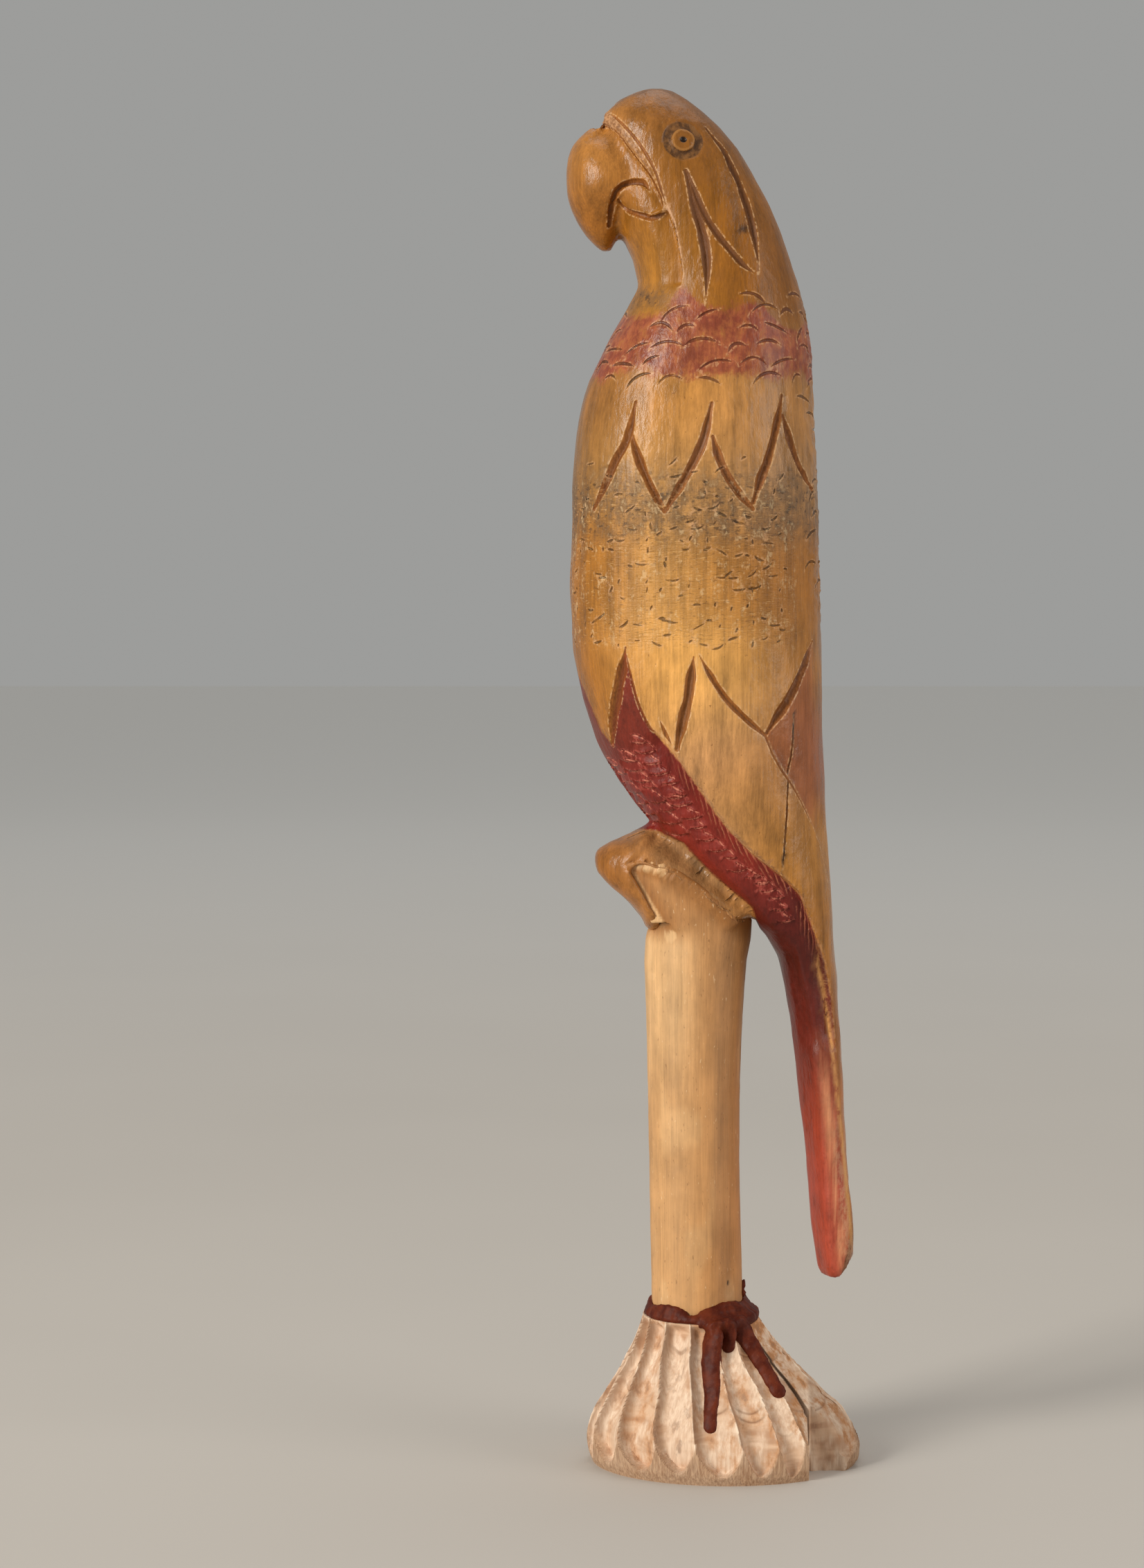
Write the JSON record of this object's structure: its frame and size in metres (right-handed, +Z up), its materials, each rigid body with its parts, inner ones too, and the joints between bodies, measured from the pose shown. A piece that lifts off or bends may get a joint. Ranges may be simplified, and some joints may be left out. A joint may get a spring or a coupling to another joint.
{
  "type": "parrot-shaped wooden maraca",
  "caption": "Carved wooden parrot rattle with a straight handle, standing in a gouged wooden foot with a brown glue collar.",
  "frame": {"origin": "on the handle's axis, at the foot's flat underside", "axes": "+Z up along the handle; the parrot looks along -X and its tail is at +X; +Y is its right side"},
  "size_m": [0.0728, 0.054, 0.3359],
  "materials": {
    "parrot_wood": "stained and varnished soft wood, satin",
    "handle_wood": "rubbed pale wood, satin",
    "foot_wood": "raw gouged wood, matt",
    "glue": "dried brown glue, semi-gloss",
    "seed": "hard dark seed, satin"
  },
  "bodies": {
    "root": {"parrot_body": "parrot_wood", "handle": "handle_wood", "foot": "foot_wood", "glue_collar": "glue"},
    "seed_column_1": {"seed_1_1": "seed", "seed_1_2": "seed", "seed_1_3": "seed"},
    "seed_column_2": {"seed_2_1": "seed", "seed_2_2": "seed", "seed_2_3": "seed"},
    "seed_column_3": {"seed_3_1": "seed", "seed_3_2": "seed", "seed_3_3": "seed"},
    "seed_column_4": {"seed_4_1": "seed", "seed_4_2": "seed", "seed_4_3": "seed"},
    "seed_column_5": {"seed_5_1": "seed", "seed_5_2": "seed", "seed_5_3": "seed"},
    "seed_column_6": {"seed_6_1": "seed", "seed_6_2": "seed", "seed_6_3": "seed"},
    "seed_column_7": {"seed_7_1": "seed", "seed_7_2": "seed", "seed_7_3": "seed"}
  },
  "joints": [
    {"name": "seed_column_1_slide", "type": "slide", "parent": "root", "child": "seed_column_1", "axis": [0, 0, 1], "range_m": [0, 0.072]},
    {"name": "seed_column_2_slide", "type": "slide", "parent": "root", "child": "seed_column_2", "axis": [0, 0, 1], "range_m": [0, 0.072]},
    {"name": "seed_column_3_slide", "type": "slide", "parent": "root", "child": "seed_column_3", "axis": [0, 0, 1], "range_m": [0, 0.072]},
    {"name": "seed_column_4_slide", "type": "slide", "parent": "root", "child": "seed_column_4", "axis": [0, 0, 1], "range_m": [0, 0.072]},
    {"name": "seed_column_5_slide", "type": "slide", "parent": "root", "child": "seed_column_5", "axis": [0, 0, 1], "range_m": [0, 0.072]},
    {"name": "seed_column_6_slide", "type": "slide", "parent": "root", "child": "seed_column_6", "axis": [0, 0, 1], "range_m": [0, 0.072]},
    {"name": "seed_column_7_slide", "type": "slide", "parent": "root", "child": "seed_column_7", "axis": [0, 0, 1], "range_m": [0, 0.072]}
  ]
}
